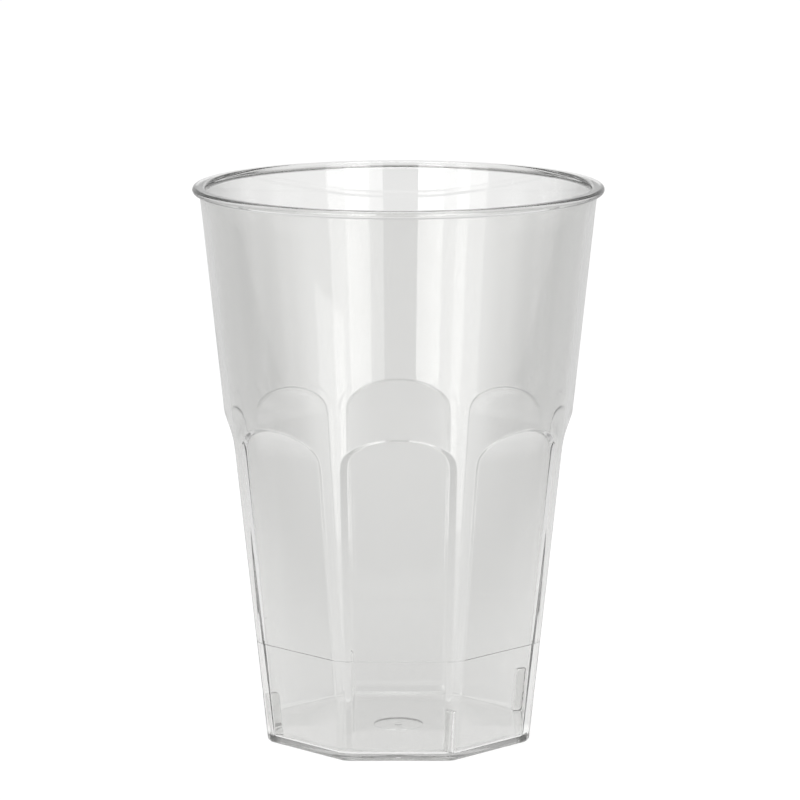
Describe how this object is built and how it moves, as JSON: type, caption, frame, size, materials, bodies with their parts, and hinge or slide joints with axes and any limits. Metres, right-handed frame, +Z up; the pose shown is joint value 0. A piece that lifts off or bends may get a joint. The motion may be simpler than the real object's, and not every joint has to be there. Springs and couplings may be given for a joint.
{
  "type": "plastic tumbler cup",
  "caption": "Clear moulded plastic tumbler with a rim bead, a round tapered upper wall, flat facets with scooped arched tops below and small stacking ribs on the floor.",
  "frame": {"origin": "centre of the base, on the plane the cup stands on", "axes": "+Z up along the cup's axis, -Y out of the middle of the front facet, +X to the right seen from the front"},
  "size_m": [0.085, 0.085, 0.1155],
  "materials": {
    "clear_plastic": "clear, polished, untinted"
  },
  "bodies": {
    "root": {"tumbler": "clear_plastic"}
  },
  "joints": []
}
